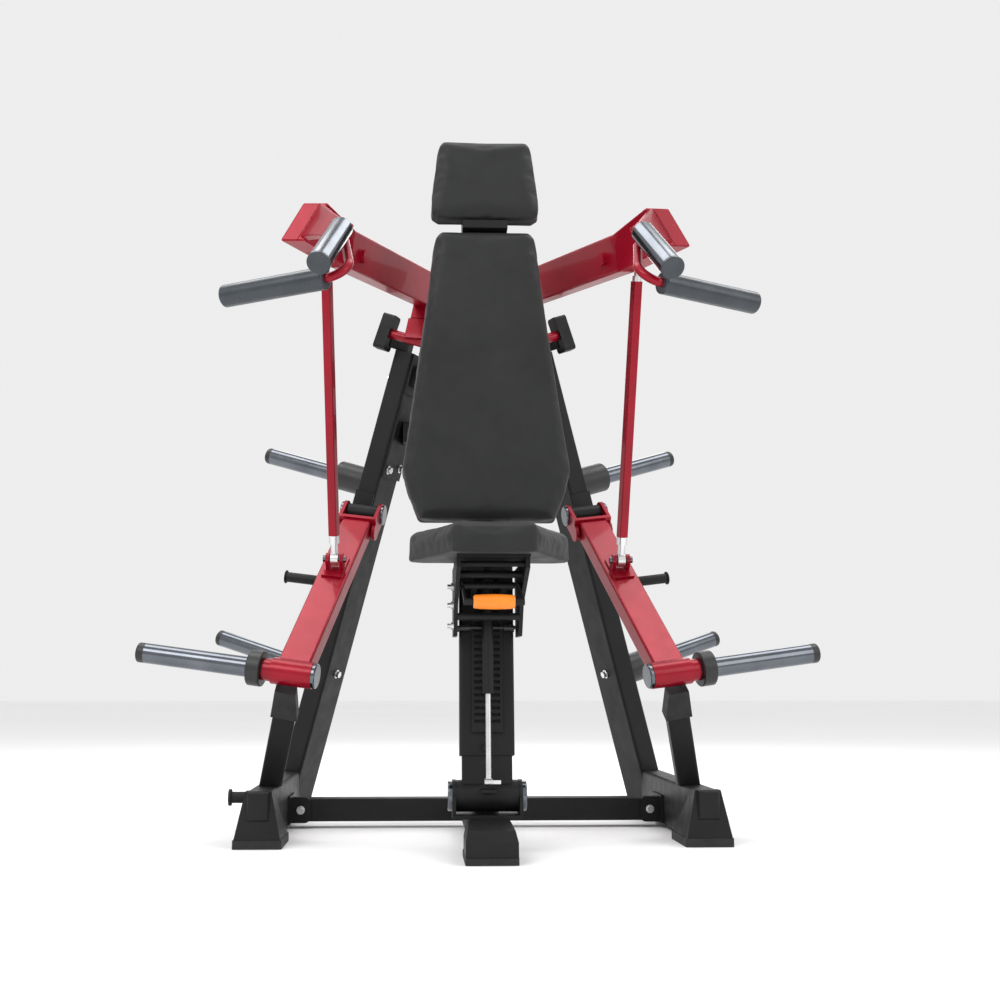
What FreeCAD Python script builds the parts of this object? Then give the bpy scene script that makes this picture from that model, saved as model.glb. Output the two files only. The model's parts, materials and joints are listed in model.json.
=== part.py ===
import FreeCAD, Part
import os
import math

# Plate-loaded chest press with two independent arms.
# Millimetres. The user faces -Y, +Z is up, the floor is Z = 0.
# The origin is on the floor, on the plane of symmetry, above the middle of the machine's footprint.
# Every side piece is drawn for the +X side and mirrored for the -X side.

V = FreeCAD.Vector

# ---- driving dimensions -------------------------------------------------------------------
Y_SHIFT = 245.35           # moves the layout so that the origin is under the middle of the machine

TUBE_WALL = 3.0
RUNNING_FIT = 0.05         # radial clearance of every pin and shaft in its bore
RAIL_W, RAIL_H = 60.0, 120.0
RAIL_X = 519.0             # centre of each floor rail
RAIL_Z = 8.0               # underside of the rail
RAIL_FRONT_Y, RAIL_BACK_Y = -433.0, 302.0

UPRIGHT_W, UPRIGHT_D = 60.0, 120.0
UPRIGHT_TURN = 23.0        # the upright's section is turned outwards by this angle, degrees
UPRIGHT_RUN = V(-0.2662, -0.148, 1)  # it leans inwards and a little forwards
UPRIGHT_FOOT = V(485, 275, 128)     # front inner edge at the top of the rail
UPRIGHT_TOP_Z = 1300.0

LEVER_PIVOT = V(309, 100, 843)
LEVER_AXIS = V(0.974, 0.1823, 0.1305)
LEVER_DIR = V(0.222, -0.693, -0.686)
LEVER_LEN = 649.0
LEVER_W, LEVER_T = 80.0, 50.0
CLEVIS_PIN = V(372, -130, 693)
CLEVIS_AXIS = V(1, 0.0624, 0.0402)

ARM_PIVOT = V(249, 100, 1360)       # middle of the outer bearing of the press arm
ARM_TILT = 20.0            # the arm's hinge rises outwards by this angle
BEAM_ROLL = 10.0           # the beam's section is rolled inwards by this angle
ARM_SPREAD = 21.0          # the arms open outwards by this angle in plan
ARM_DROP = 6.0             # the beam falls towards the hands by this angle
BEAM_W, BEAM_H = 60.0, 94.0
BEAM_MID = V(323, -404, 1420)       # a point on the beam's centre line, level with the rod stud
ROD_STUD = V(388.5, -378.8, 1427.7)

HORN_R = 24.5              # weight horns take plates with a 50 mm hole
HORN_LEN = 262.0
STORE_LEN = 262.0

SLIDE_DIR = V(0, 0.1, 0.995)        # the seat column's direction
KNUCKLE = V(0, -530, 125)
COLUMN_W, COLUMN_D = 123.0, 60.0

X_AXIS = V(1, 0, 0)
Z_AXIS = V(0, 0, 1)


# ---- helpers ------------------------------------------------------------------------------
def unit(v):
    w = V(v)
    w.normalize()
    return w


def box(x0, x1, y0, y1, z0, z1):
    return Part.makeBox(x1 - x0, y1 - y0, z1 - z0, V(x0, y0, z0))


def rod(p, q, r, bore=0.0):
    """A round bar, or a pipe when it has a bore, from p to q."""
    d = q.sub(p)
    shape = Part.makeCylinder(r, d.Length, p, d)
    if bore > 0:
        shape = shape.cut(Part.makeCylinder(bore, d.Length + 2, p.sub(unit(d)), d))
    return shape


def section(centre, side, up, w, h, r):
    """A rectangle with rounded corners, w along side and h along up."""
    u, v = unit(side), unit(up)
    hw, hh = w / 2, h / 2
    if r <= 0:
        corners = [(-hw, -hh), (hw, -hh), (hw, hh), (-hw, hh), (-hw, -hh)]
        return Part.makePolygon([centre + u * a + v * b for a, b in corners])
    k = r * (1 - math.sqrt(0.5))
    edges = []

    def at(a, b):
        return centre + u * a + v * b

    quads = [(1, -1), (1, 1), (-1, 1), (-1, -1)]
    for i, (sx, sy) in enumerate(quads):
        nx, ny = quads[(i + 1) % 4]
        if sx * sy < 0:
            start, end = at(sx * (hw - r), sy * hh), at(sx * hw, sy * (hh - r))
        else:
            start, end = at(sx * hw, sy * (hh - r)), at(sx * (hw - r), sy * hh)
        mid = at(sx * (hw - k), sy * (hh - k))
        edges.append(Part.Arc(start, mid, end).toShape())
        if nx * ny < 0:
            after = at(nx * (hw - r), ny * hh)
        else:
            after = at(nx * hw, ny * (hh - r))
        edges.append(Part.makeLine(end, after))
    return Part.Wire(edges)


def bar(p, q, side, w, h, r=0.0):
    """A solid rectangular bar from p to q, w across along side."""
    d = q.sub(p)
    up = d.cross(side)
    across = up.cross(d)
    return Part.Face(section(p, across, up, w, h, r)).extrude(d)


def tube(p, q, side, w, h, wall=TUBE_WALL, r=6.0):
    """A rectangular tube from p to q, open at both ends."""
    d = unit(q.sub(p))
    inner = bar(p - d * 1.0, q + d * 1.0, side, w - 2 * wall, h - 2 * wall, max(r - wall, 0.5))
    return bar(p, q, side, w, h, r).cut(inner)


def plate(points, thick_dir):
    """A flat plate: a closed outline swept along thick_dir."""
    return Part.Face(Part.makePolygon(points + [points[0]])).extrude(thick_dir)


def mirror(shape):
    return shape.mirror(V(0, 0, 0), X_AXIS)


def round_edges(shape, r, keep):
    edges = [e for e in shape.Edges if keep(e)]
    return shape.makeFillet(r, edges)


def chamfer_edges(shape, c, keep):
    edges = [e for e in shape.Edges if keep(e)]
    return shape.makeChamfer(c, edges)


def group(shapes):
    return Part.makeCompound(shapes)


def largest(shape):
    """The biggest solid of a cut shape, without any slivers left beside it."""
    return max(shape.Solids, key=lambda solid: solid.Volume)


def join(first, *others):
    shape = first
    for other in others:
        shape = shape.fuse(other)
    return shape.removeSplitter()


parts = {}


def both(name, shape):
    parts[name + "_right"] = shape
    parts[name + "_left"] = mirror(shape)


# ---- directions of the upright, the lever and the arm ---------------------------------------
turn = math.radians(UPRIGHT_TURN)
up_dir = unit(UPRIGHT_RUN)
plan_out = V(math.cos(turn), math.sin(turn), 0)
up_out = unit(plan_out - Z_AXIS * (UPRIGHT_RUN.dot(plan_out)))
up_back = unit(up_dir.cross(up_out))

lever_axis = unit(LEVER_AXIS)
lever_top = unit(lever_axis.cross(LEVER_DIR)) * -1.0
lever_dir = unit(lever_top.cross(lever_axis)) * -1.0

spread, drop = math.radians(ARM_SPREAD), math.radians(ARM_DROP)


def sideways(angle):
    """The arm's sideways direction, rising outwards by the angle in degrees."""
    a = math.radians(angle)
    return V(math.cos(a) * math.cos(spread), math.cos(a) * math.sin(spread), math.sin(a))


arm_axis = sideways(ARM_TILT)
beam_side = sideways(BEAM_ROLL)
level_dir = V(math.sin(spread), -math.cos(spread), 0)
pivot_up = unit(level_dir.cross(arm_axis))
square_up = unit(level_dir.cross(beam_side))
beam_dir = level_dir * math.cos(drop) - square_up * math.sin(drop)
beam_up = square_up * math.cos(drop) + level_dir * math.sin(drop)


def upright_point(height, out, back):
    """A point on the upright: out and back are measured from its front inner edge."""
    along = (height - UPRIGHT_FOOT.z) / up_dir.z
    return UPRIGHT_FOOT + up_dir * along + up_out * out + up_back * back


# ---- floor frame ----------------------------------------------------------------------------
foot_centre = upright_point(RAIL_Z, UPRIGHT_W / 2, UPRIGHT_D / 2)
top_centre = upright_point(UPRIGHT_TOP_Z, UPRIGHT_W / 2, UPRIGHT_D / 2)
low_extra = up_dir * 60
upright_solid = bar(foot_centre - low_extra, top_centre, up_out, UPRIGHT_W, UPRIGHT_D, 8.0)
upright_hollow = bar(foot_centre - low_extra, top_centre + up_dir, up_out,
                     UPRIGHT_W - 2 * TUBE_WALL, UPRIGHT_D - 2 * TUBE_WALL, 5.0)
ground_cut = box(0, 900, -200, 700, -200, RAIL_Z)
upright = upright_solid.cut(upright_hollow).cut(ground_cut)

rail_end = V(RAIL_X, 420, RAIL_Z + RAIL_H / 2)
rail = tube(V(RAIL_X, RAIL_FRONT_Y, rail_end.z), rail_end, X_AXIS, RAIL_W, RAIL_H, r=8.0)
rail = rail.cut(upright_solid)
rail = rail.cut(box(RAIL_X - 80, RAIL_X + 80, RAIL_BACK_Y, 600, 0, 200))
rail = largest(rail)

# flared steel shoe closing the front of the rail
SHOE_TOP, SHOE_LOW = RAIL_Z + RAIL_H, 20.0
shoe_front = RAIL_FRONT_Y - 3


def ring(x0, x1, y0, y1, z):
    return Part.makePolygon([V(x0, y0, z), V(x1, y0, z), V(x1, y1, z), V(x0, y1, z), V(x0, y0, z)])


shoe_outer = Part.makeLoft([
    ring(RAIL_X - 53, RAIL_X + 53, shoe_front - 13, -275, SHOE_LOW),
    ring(RAIL_X - 30.2, RAIL_X + 30.2, shoe_front, -400, SHOE_TOP + 0.2),
], True, True)
rail_block = box(RAIL_X - 30, RAIL_X + 30, RAIL_FRONT_Y, 300, RAIL_Z, RAIL_Z + RAIL_H)
nose = box(RAIL_X - 25, RAIL_X + 25, shoe_front - 12, shoe_front + 8, 62, SHOE_TOP - 1)
nose = chamfer_edges(nose, 3.0, lambda e: abs(e.BoundBox.YMax - (shoe_front - 12)) < 0.1)
shoe = largest(shoe_outer.fuse(nose).cut(rail_block))
rail = rail.cut(box(RAIL_X - 60, RAIL_X + 60, -460, -268, 0, SHOE_LOW))
rail = rail.fuse(shoe).removeSplitter()


def foot_pad(x0, x1, y0, y1, top):
    pad = box(x0, x1, y0, y1, 0, top)
    return round_edges(pad, 6.0, lambda e: abs(e.BoundBox.ZLength - top) < 0.01)


front_pad_right = foot_pad(RAIL_X - 56, RAIL_X + 56, -451, -269, SHOE_LOW - 0.2)
rear_pad_right = bar(V(foot_centre.x, foot_centre.y, 0), V(foot_centre.x, foot_centre.y, RAIL_Z - 0.2),
                     plan_out, 76, 134, 9.0)
centre_pad = foot_pad(-56, 56, -745, -575, 14.8)
parts["rubber_feet"] = group([
    front_pad_right, mirror(front_pad_right),
    rear_pad_right, mirror(rear_pad_right),
    centre_pad,
])

both("floor_rail", rail)

# stop post that carries the weight lever at rest
POST_W, POST_D = 54.0, 50.0
post_low = V(512, -246, RAIL_Z + RAIL_H)
post_high = V(474, -318, 300)
post_dir = unit(post_high - post_low)
post = tube(post_low - post_dir * 60, post_high, X_AXIS, POST_W, POST_D, r=5.0)
post = post.cut(box(300, 700, -500, 0, -50, RAIL_Z + RAIL_H + 0.05))
both("stop_post", post)

# cross beam between the rails
CROSS_Z0, CROSS_Z1 = 17.0, 76.0
inner_x = RAIL_X - RAIL_W / 2
cross_mid = V(0, 30, (CROSS_Z0 + CROSS_Z1) / 2)
cross = tube(V(-inner_x + 6.2, 30, cross_mid.z), V(inner_x - 6.2, 30, cross_mid.z), V(0, 1, 0),
             60, CROSS_Z1 - CROSS_Z0, r=5.0)
end_plates = []
for s in (1, -1):
    x0, x1 = sorted((s * (inner_x - 6.2), s * (inner_x - 0.1)))
    end_plate = box(x0, x1, -36, 96, CROSS_Z0 - 5, CROSS_Z1 + 8)
    end_plates.append(end_plate)
    x0, x1 = sorted((s * (inner_x - 56), s * (inner_x - 0.1)))
    cheek = box(x0, x1, -8, -0.1, CROSS_Z0 - 3, CROSS_Z1 + 3)
    cheek = round_edges(cheek, 14.0, lambda e, s=s: (
        e.Length < 9 and abs(e.BoundBox.Center.x - s * (inner_x - 56)) < 0.1))
    end_plates.append(cheek)
parts["cross_beam"] = join(cross, *end_plates)

# ---- centre base, knuckle and seat column ---------------------------------------------------
SADDLE_Z0, SADDLE_Z1 = 78.0, 86.0
KNUCKLE_BORE = 16.0
base = tube(V(0, -600, 49), V(0, -8.3, 49), X_AXIS, 80, 57.8, r=6.0)
saddle = box(-78, 78, -585, -486, SADDLE_Z0 - 0.1, SADDLE_Z1)
ears = []
for s in (1, -1):
    x0, x1 = sorted((s * 70.5, s * 78))
    ear = box(x0, x1, -578, -486, SADDLE_Z1 - 0.1, 125)
    ear = ear.fuse(rod(V(x0, KNUCKLE.y, KNUCKLE.z), V(x1, KNUCKLE.y, KNUCKLE.z), 36))
    ear_bore = rod(V(x0 - 1, KNUCKLE.y, KNUCKLE.z), V(x1 + 1, KNUCKLE.y, KNUCKLE.z), KNUCKLE_BORE)
    ears.append(ear.cut(ear_bore))
parts["base_beam"] = join(base, saddle, *ears)


def foot_shape(inset, floor):
    """The sloping foot at the front of the base beam, shrunk by the inset, above the floor height."""
    k = inset
    return Part.makeLoft([
        ring(-55 + k, 55 - k, -742 + k, -600.2 - k, floor),
        ring(-55 + k, 55 - k, -742 + k, -600.2 - k, 46 - k / 2),
        ring(-50 + k, 50 - k, -716 + k, -600.2 - k, 68 - k),
        ring(-46 + k, 46 - k, -640 + k, -600.2 - k, 77.9 - k),
    ], True, True)


parts["front_foot"] = foot_shape(0, 15).cut(foot_shape(4, 20))

slide = unit(SLIDE_DIR)
column_side = V(0, -slide.z, slide.y)


def on_column(z, forward=0.0, x=0.0):
    """A point on the seat column's centre line at height z, moved forward off it."""
    along = (z - KNUCKLE.z) / slide.z
    return KNUCKLE + slide * along + column_side * forward + V(x, 0, 0)


COLUMN_TOP = 700.0
knuckle_barrel = rod(V(-70, KNUCKLE.y, KNUCKLE.z), V(70, KNUCKLE.y, KNUCKLE.z), 35)
neck = bar(on_column(150), on_column(214), X_AXIS, 112, 52, 3.0)
post_tube = tube(on_column(213), on_column(COLUMN_TOP), X_AXIS, COLUMN_W, COLUMN_D, r=6.0)
column_lid = bar(on_column(COLUMN_TOP - 4), on_column(COLUMN_TOP), X_AXIS, COLUMN_W, COLUMN_D, 6.0)
column_base = bar(on_column(212), on_column(218), X_AXIS, COLUMN_W, COLUMN_D, 6.0)
clevis = box(-16, 16, -612, -552, 137, 143)
stop_tab = box(-12, -5, -571, -545, 226, 238)
column = join(knuckle_barrel, neck, post_tube, column_lid, column_base, clevis, stop_tab)
column = column.cut(rod(V(-80, KNUCKLE.y, KNUCKLE.z), V(80, KNUCKLE.y, KNUCKLE.z), KNUCKLE_BORE))
parts["seat_column"] = column

pin_r = KNUCKLE_BORE - RUNNING_FIT
pin = rod(V(-79.5, KNUCKLE.y, KNUCKLE.z), V(79.5, KNUCKLE.y, KNUCKLE.z), pin_r)
for s in (1, -1):
    head = rod(V(s * 78.1, KNUCKLE.y, KNUCKLE.z), V(s * 88, KNUCKLE.y, KNUCKLE.z), 33)
    pin = pin.fuse(round_edges(head, 3.0, lambda e, s=s: abs(e.BoundBox.Center.x - s * 88) < 0.1))
parts["knuckle_pin"] = pin.removeSplitter()

# ratchet plate with its row of slots on the front of the column
SLOT_PITCH, SLOT_COUNT = 14.6, 24
ratchet_front = COLUMN_D / 2 + 8
ratchet = bar(on_column(262, COLUMN_D / 2 + 4.1), on_column(664, COLUMN_D / 2 + 4.1), X_AXIS, 70, 8)
for i in range(SLOT_COUNT):
    z = 282 + i * SLOT_PITCH * slide.z
    slot = bar(on_column(z, COLUMN_D / 2 + 5), on_column(z + 7, COLUMN_D / 2 + 5), X_AXIS, 58, 14)
    ratchet = ratchet.cut(slot)
parts["ratchet_plate"] = ratchet

# gas spring: the rod stands on the knuckle barrel, the cylinder rides with the seat
SPRING_LINE = 72.0          # the gas spring runs this far in front of the column's centre line
GAS_ROD_R, CYLINDER_R = 6.0, 12.5
rod_foot = on_column(152, SPRING_LINE)
rod_head = on_column(372, SPRING_LINE)
lug = rod(V(-9, rod_foot.y, rod_foot.z), V(9, rod_foot.y, rod_foot.z), 9)
gas_rod = rod(rod_foot, rod_head, GAS_ROD_R)
clip = box(8, 27, rod_foot.y - 3, rod_foot.y + 3, rod_foot.z - 4, rod_foot.z + 4)
parts["gas_rod"] = join(lug, gas_rod, clip)

# ---- seat carriage, seat and its release ----------------------------------------------------
CHEEK_X0, CHEEK_X1 = 68.0, 77.0
SEAT_PLATE_Z = 634.0
cheeks = []
for s in (1, -1):
    x0 = s * CHEEK_X0
    side = plate([V(x0, -425 - 68, 478), V(x0, -580, 478), V(x0, -628, 548), V(x0, -800, 612),
                  V(x0, -800, SEAT_PLATE_Z), V(x0, -470, SEAT_PLATE_Z)],
                 V(s * (CHEEK_X1 - CHEEK_X0), 0, 0))
    cheeks.append(side)
deck = box(-CHEEK_X1, CHEEK_X1, -815, -582, SEAT_PLATE_Z - 0.1, SEAT_PLATE_Z + 5)
cross_bars = [
    rod(V(-CHEEK_X0 - 1, -607, 520), V(CHEEK_X0 + 1, -607, 520), 8),
    rod(V(-CHEEK_X0 - 1, -700, 606), V(CHEEK_X0 + 1, -700, 606), 8),
    rod(V(-CHEEK_X0 - 1, -770, 622), V(CHEEK_X0 + 1, -770, 622), 6),
]
carriage = join(cheeks[0], cheeks[1], deck, *cross_bars)
parts["seat_carriage"] = carriage

# four axles, two in front of the column and two behind it, each with two rollers
rolling = []
for z, f, roller_r in ((494, 46.4, 7.9), (588, 46.4, 7.9), (500, -37.6, 7.3), (610, -37.6, 7.3)):
    c = on_column(z, f)
    axle = rod(V(-CHEEK_X0 + 0.2, c.y, c.z), V(CHEEK_X0 - 0.2, c.y, c.z), 4.5)
    pair = [rod(V(s * 38, c.y, c.z), V(s * 60, c.y, c.z), roller_r) for s in (1, -1)]
    rolling.append(join(axle, *pair))

cyl_low, cyl_high = on_column(343, SPRING_LINE), on_column(598, SPRING_LINE)
cylinder = rod(cyl_low, cyl_high, CYLINDER_R)
cylinder = cylinder.cut(rod(cyl_low - slide, on_column(586, SPRING_LINE), GAS_ROD_R + 0.4))
hook = bar(on_column(597, SPRING_LINE), on_column(628, SPRING_LINE), X_AXIS, 14, 14)
parts["gas_cylinder"] = join(cylinder, hook)

seat_bolts = []
for y, z in ((-590, 500), (-590, 546), (-590, 587)):
    bolt = rod(V(-CHEEK_X1 - 0.1, y, z), V(-CHEEK_X1 - 6, y, z), 9)
    bolt = bolt.fuse(rod(V(-CHEEK_X1 - 5, y, z), V(-CHEEK_X1 - 14, y, z), 5.5))
    seat_bolts.append(bolt.removeSplitter())
parts["carriage_rollers"] = group(rolling + seat_bolts)

# seat: six-sided in plan, with its top edge bevelled
SEAT_Z0, SEAT_Z1 = SEAT_PLATE_Z + 5.2, 705.0
seat_plan = [(-88, -858), (88, -858), (180, -640), (180, -604), (150, -583), (-150, -583),
             (-180, -604), (-180, -640)]
seat_block = plate([V(x, y, SEAT_Z0) for x, y in seat_plan], V(0, 0, SEAT_Z1 - SEAT_Z0))
seat_block = chamfer_edges(seat_block, 11.0, lambda e: e.BoundBox.ZMin > SEAT_Z1 - 0.01)
seat_block = chamfer_edges(seat_block, 4.0, lambda e: e.BoundBox.ZMax < SEAT_Z0 + 0.01)
parts["seat_pad"] = seat_block

# release lever: a bail with a grip, turning on a shaft, with a pawl at the ratchet
RELEASE = V(0, -662, 585)
BAIL_R, GRIP_HALF = 7.0, 43.0
grip_c = V(0, -822, 539)
bail = []
for s in (1, -1):
    p, q = V(s * 60, RELEASE.y, RELEASE.z), V(s * 60, grip_c.y, grip_c.z)
    bail.append(bar(p, q, X_AXIS, 6, 14, 2.0))
bail_shaft = rod(V(-67.6, RELEASE.y, RELEASE.z), V(67.6, RELEASE.y, RELEASE.z), BAIL_R)
handle_bar = rod(V(-63, grip_c.y, grip_c.z), V(63, grip_c.y, grip_c.z), BAIL_R)
pawl_c = on_column(566, ratchet_front + 2.5)
pawls = []
for s in (1, -1):
    pawls.append(bar(V(s * 33, RELEASE.y, RELEASE.z), V(s * 33, pawl_c.y, pawl_c.z), X_AXIS, 12, 10))
parts["release_lever"] = join(bail_shaft, handle_bar, *(bail + pawls))
grip_profile = []
for x, r in ((-GRIP_HALF, 12), (-40, 14), (-22, 15.3), (0, 15.8), (22, 15.3), (40, 14), (GRIP_HALF, 12)):
    grip_profile.append(V(x, r, 0))
bore_near, bore_far = V(-GRIP_HALF, BAIL_R + RUNNING_FIT, 0), V(GRIP_HALF, BAIL_R + RUNNING_FIT, 0)
profile = Part.makePolygon([bore_near] + grip_profile + [bore_far, bore_near])
grip = Part.Face(profile).revolve(V(0, 0, 0), X_AXIS, 360)
grip.translate(grip_c)
parts["release_grip"] = grip

# ---- back column, backrest and headrest -----------------------------------------------------
BACK_SLOPE = 0.1
back_n = unit(V(0, -1, BACK_SLOPE))


def on_back(height, depth, x=0.0):
    """A point on the backrest: height is its Z on the front face, depth is behind that face."""
    return V(x, -570 + BACK_SLOPE * (height - 750), height) - back_n * depth


PAD_T, HEAD_PAD_T = 60.0, 55.0
back_outline = [(157, 741), (185, 811), (199, 862), (123, 1441), (109, 1457),
                (-109, 1457), (-123, 1441), (-199, 862), (-185, 811), (-157, 741)]
back_pad = plate([on_back(z, PAD_T, x) for x, z in back_outline], back_n * PAD_T)


def front_edge(e):
    pts = [v.Point for v in e.Vertexes]
    return all(abs((p - on_back(p.z, 0)).dot(back_n)) < 0.6 for p in pts)


back_pad = chamfer_edges(back_pad, 14.0, front_edge)
parts["backrest_pad"] = back_pad

head_outline = [(119, 1485), (133, 1497), (133, 1518), (114, 1682), (103, 1694),
                (-103, 1694), (-114, 1682), (-133, 1518), (-133, 1497), (-119, 1485)]
head_pad = plate([on_back(z, HEAD_PAD_T, x) for x, z in head_outline], back_n * HEAD_PAD_T)
head_pad = chamfer_edges(head_pad, 13.0, front_edge)
parts["headrest_pad"] = head_pad

board = plate([on_back(z, PAD_T + 12.3, x) for x, z in
               ((120, 800), (150, 890), (80, 1420), (-80, 1420), (-150, 890), (-120, 800))],
              back_n * 12)
neck_plate = plate([on_back(z, PAD_T + 22.5, x) for x, z in
                    ((55, 1380), (55, 1665), (-55, 1665), (-55, 1380))], back_n * 10)
neck_front = plate([on_back(z, 75, x) for x, z in
                    ((54, 1461), (54, 1481), (-54, 1481), (-54, 1461))], back_n * 67)
head_board = plate([on_back(z, 73, x) for x, z in
                    ((104, 1520), (84, 1668), (-84, 1668), (-104, 1520))], back_n * 17.7)
parts["backrest_board"] = board
parts["headrest_bracket"] = join(neck_plate, neck_front, head_board)

SPINE_D = 80.0
SPINE_BACK = 155.0
spine_low = on_back(78.2, SPINE_BACK + SPINE_D / 2)
spine_high = on_back(1560, SPINE_BACK + SPINE_D / 2)
spine = tube(spine_low, spine_high, X_AXIS, 60, SPINE_D, r=6.0)
spine = spine.cut(box(-100, 100, -900, 100, -100, SADDLE_Z0 - 0.05))
base_plate = box(-38, 38, -480, -330, SADDLE_Z0, SADDLE_Z0 + 8)
base_plate = base_plate.cut(saddle)
spine = spine.cut(base_plate)
stand_offs = []
for z0, z1, depth in ((860, 930, PAD_T + 12.5), (1300, 1370, PAD_T + 12.5), (1530, 1556, 82.7)):
    stub = tube(on_back(z0, (depth + SPINE_BACK) / 2), on_back(z1, (depth + SPINE_BACK) / 2), X_AXIS,
                50, SPINE_BACK - depth, wall=5.0)
    stand_offs.append(stub)
parts["back_column"] = join(spine, base_plate, *stand_offs)

# frame member behind the backrest: bolted between the uprights, braced to the back column
CROSS_HIGH = 1085.0
hp = upright_point(CROSS_HIGH, -6.2, 60)
tie = tube(V(-hp.x, hp.y, hp.z), V(hp.x, hp.y, hp.z), V(0, 1, 0), 60, 60, r=5.0)
limit_right = bar(upright_point(800, -6.0 + 150, 60), upright_point(1300, -6.0 + 150, 60), up_out,
                  300, 400)
tie = tie.cut(limit_right).cut(mirror(limit_right))
flange = bar(upright_point(CROSS_HIGH - 130, -3.1, 62), upright_point(CROSS_HIGH + 70, -3.1, 62), up_out,
             6, 112, 0)
spine_rear = spine_low + (spine_high - spine_low) * ((CROSS_HIGH - 78) / (1560 - 78)) + V(0, 40.6, 0)
brace = tube(V(0, spine_rear.y + 0.4, CROSS_HIGH), V(0, hp.y - 30, CROSS_HIGH), X_AXIS, 50, 60, r=5.0)
brace = brace.cut(bar(spine_low, spine_high, X_AXIS, 60.2, SPINE_D + 0.4))
parts["rear_tie"] = join(tie, flange, mirror(flange), brace)

# ---- bearings of the press arms -------------------------------------------------------------
SHAFT_R = 14.0
INNER_BEARING = 173.0      # distance between the outer and inner bearings of an arm


def on_shaft(inward, forward=0.0, up=0.0):
    return ARM_PIVOT - arm_axis * inward + level_dir * forward + pivot_up * up


def bearing(inward, thick, height, depth):
    """A pillow block with rounded corners, bored for the arm's shaft."""
    p, q = on_shaft(inward + thick / 2), on_shaft(inward - thick / 2)
    block = bar(p, q, level_dir, depth, height, 9.0)
    return block.cut(rod(p - arm_axis, q + arm_axis, SHAFT_R + RUNNING_FIT))


strap = bar(upright_point(1196, 66.1, 76), upright_point(1336, 66.1, 76), up_out, 12, 78, 4.0)
saddle_arm = bar(on_shaft(4, -8, -14), upright_point(1326, 66.1, 62), arm_axis, 34, 44, 4.0)
outer_unit = join(bearing(0, 36, 102, 46), strap, saddle_arm).cut(upright_solid)
outer_unit = outer_unit.cut(rod(on_shaft(60), on_shaft(-60), SHAFT_R + RUNNING_FIT))
both("arm_bearing", largest(outer_unit))

TOP_TIE_Z = 1240.0
tie_end = upright_point(TOP_TIE_Z, -6.2, 60)
top_tube = tube(V(-tie_end.x - 40, tie_end.y, TOP_TIE_Z), V(tie_end.x + 40, tie_end.y, TOP_TIE_Z),
                V(0, 1, 0), 60, 60, r=5.0)
outside = bar(upright_point(1000, -6.0 + 150, 60), upright_point(1290, -6.0 + 150, 60), up_out, 300, 400)
top_tube = top_tube.cut(outside).cut(mirror(outside))
top_flange = bar(upright_point(1190, -3.1, 60), upright_point(1290, -3.1, 60), up_out, 6, 108)
inner_post = bar(on_shaft(INNER_BEARING, -14, -30), V(84, tie_end.y - 4, TOP_TIE_Z + 22), X_AXIS, 36, 44, 4.0)
inner_unit = bearing(INNER_BEARING, 40, 76, 62).fuse(inner_post)
shaft_hole = rod(on_shaft(INNER_BEARING + 60), on_shaft(INNER_BEARING - 60), SHAFT_R + RUNNING_FIT)
inner_unit = inner_unit.cut(shaft_hole)
parts["top_tie"] = join(top_tube, top_flange, mirror(top_flange), inner_unit, mirror(inner_unit))

# ---- uprights with their caps, lever pivots and storage horns -------------------------------
upright_lid = bar(top_centre - up_dir * 4,
                  top_centre, up_out, UPRIGHT_W, UPRIGHT_D, 8.0)
both("upright", upright.fuse(upright_lid).removeSplitter())

PIVOT_R, PIVOT_HALF = 23.0, 42.0
PIN_R = 12.0


def on_lever(along, out=0.0, up=0.0):
    """A point on the weight lever, measured from its pivot."""
    return LEVER_PIVOT + lever_dir * along + lever_axis * out + lever_top * up


pivot_barrel = rod(on_lever(0, -PIVOT_HALF), on_lever(0, PIVOT_HALF), PIVOT_R)
face_point = upright_point(LEVER_PIVOT.z + 4, 30, 10)
pivot_arm = bar(LEVER_PIVOT, face_point, lever_axis, 66, 38, 3.0)
pivot_pad = bar(upright_point(785, 30, -4.1), upright_point(905, 30, -4.1), up_out, 58, 8, 2.0)
pivot = pivot_barrel.fuse(pivot_arm).fuse(pivot_pad).cut(upright_solid)
pivot = pivot.cut(rod(on_lever(0, -80), on_lever(0, 80), PIN_R + RUNNING_FIT)).removeSplitter()
both("lever_pivot", largest(pivot))

STORE_R, COLLAR_R = 23.5, 42.0
STORE_COLLAR = 96.0
HORN_WALL = 5.0
STORE_HEIGHTS = (930, 392)


def store_point(height, out):
    return upright_point(height, 60.1, 60) + up_out * out


horns, collars, caps = [], [], []
for h in STORE_HEIGHTS:
    end = 66 + STORE_LEN
    root = rod(store_point(h, 0), store_point(h, STORE_COLLAR + 1), STORE_R - 1.5)
    horn = root.fuse(rod(store_point(h, STORE_COLLAR + 0.2), store_point(h, end), STORE_R))
    horns.append(horn.cut(rod(store_point(h, 6), store_point(h, end + 1), STORE_R - HORN_WALL)))
    collar = rod(store_point(h, 0.1), store_point(h, STORE_COLLAR), COLLAR_R, STORE_R - 1.45)
    outer_rim = store_point(h, STORE_COLLAR)
    collar = round_edges(collar, 5.0, lambda e: (
        e.Length > 200 and abs((e.BoundBox.Center - outer_rim).dot(up_out)) < 1))
    collars.append(collar)
    plug = rod(store_point(h, end + 0.1), store_point(h, end + 18), STORE_R - 0.3)
    tip = store_point(h, end + 18)
    caps.append(round_edges(plug, 7.0, lambda e: (
        e.Length > 100 and abs((e.BoundBox.Center - tip).dot(up_out)) < 1)))
both("storage_horns", group(horns))
parts["storage_collars"] = group(collars + [mirror(c) for c in collars])
parts["storage_caps"] = group(caps + [mirror(c) for c in caps])

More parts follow.
